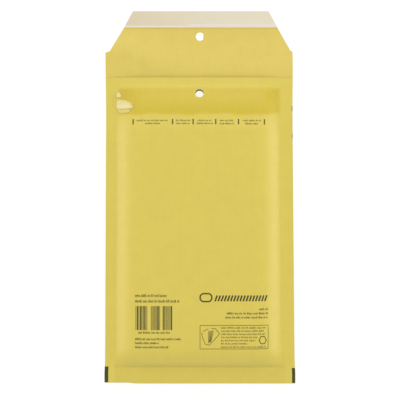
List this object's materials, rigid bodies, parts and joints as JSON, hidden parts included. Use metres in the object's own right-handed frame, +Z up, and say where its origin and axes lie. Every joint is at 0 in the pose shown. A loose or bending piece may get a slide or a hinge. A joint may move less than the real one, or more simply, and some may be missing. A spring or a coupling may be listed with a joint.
{
  "type": "padded envelope",
  "caption": "Open padded mailing envelope of golden kraft paper with a folded bubble-film liner, sealed sides, punched clasp holes and a self-seal flap under its release strip.",
  "frame": {"origin": "centre of the bounding box's bottom, on the surface that the far panel lies on", "axes": "+X across the envelope to the right, +Y up the envelope from the foot fold to the flap's tip, +Z up out of the face with the mouth edge"},
  "size_m": [0.14, 0.2742, 0.0129],
  "materials": {
    "kraft_paper": "machine-glazed golden kraft, satin",
    "bubble_film": "clear polyethylene bubble film",
    "hot_melt_glue": "pale hot-melt glue, soaked into the paper",
    "self_seal_adhesive": "tacky self-seal adhesive",
    "release_paper": "silicone-coated cream release paper",
    "clear_film": "clear glossy film"
  },
  "bodies": {
    "root": {"kraft_envelope": "kraft_paper", "bubble_film_liner": "bubble_film", "mouth_glue_near": "hot_melt_glue", "mouth_glue_far": "hot_melt_glue", "flap_adhesive": "self_seal_adhesive", "release_strip": "release_paper", "clear_seal": "clear_film"}
  },
  "joints": []
}
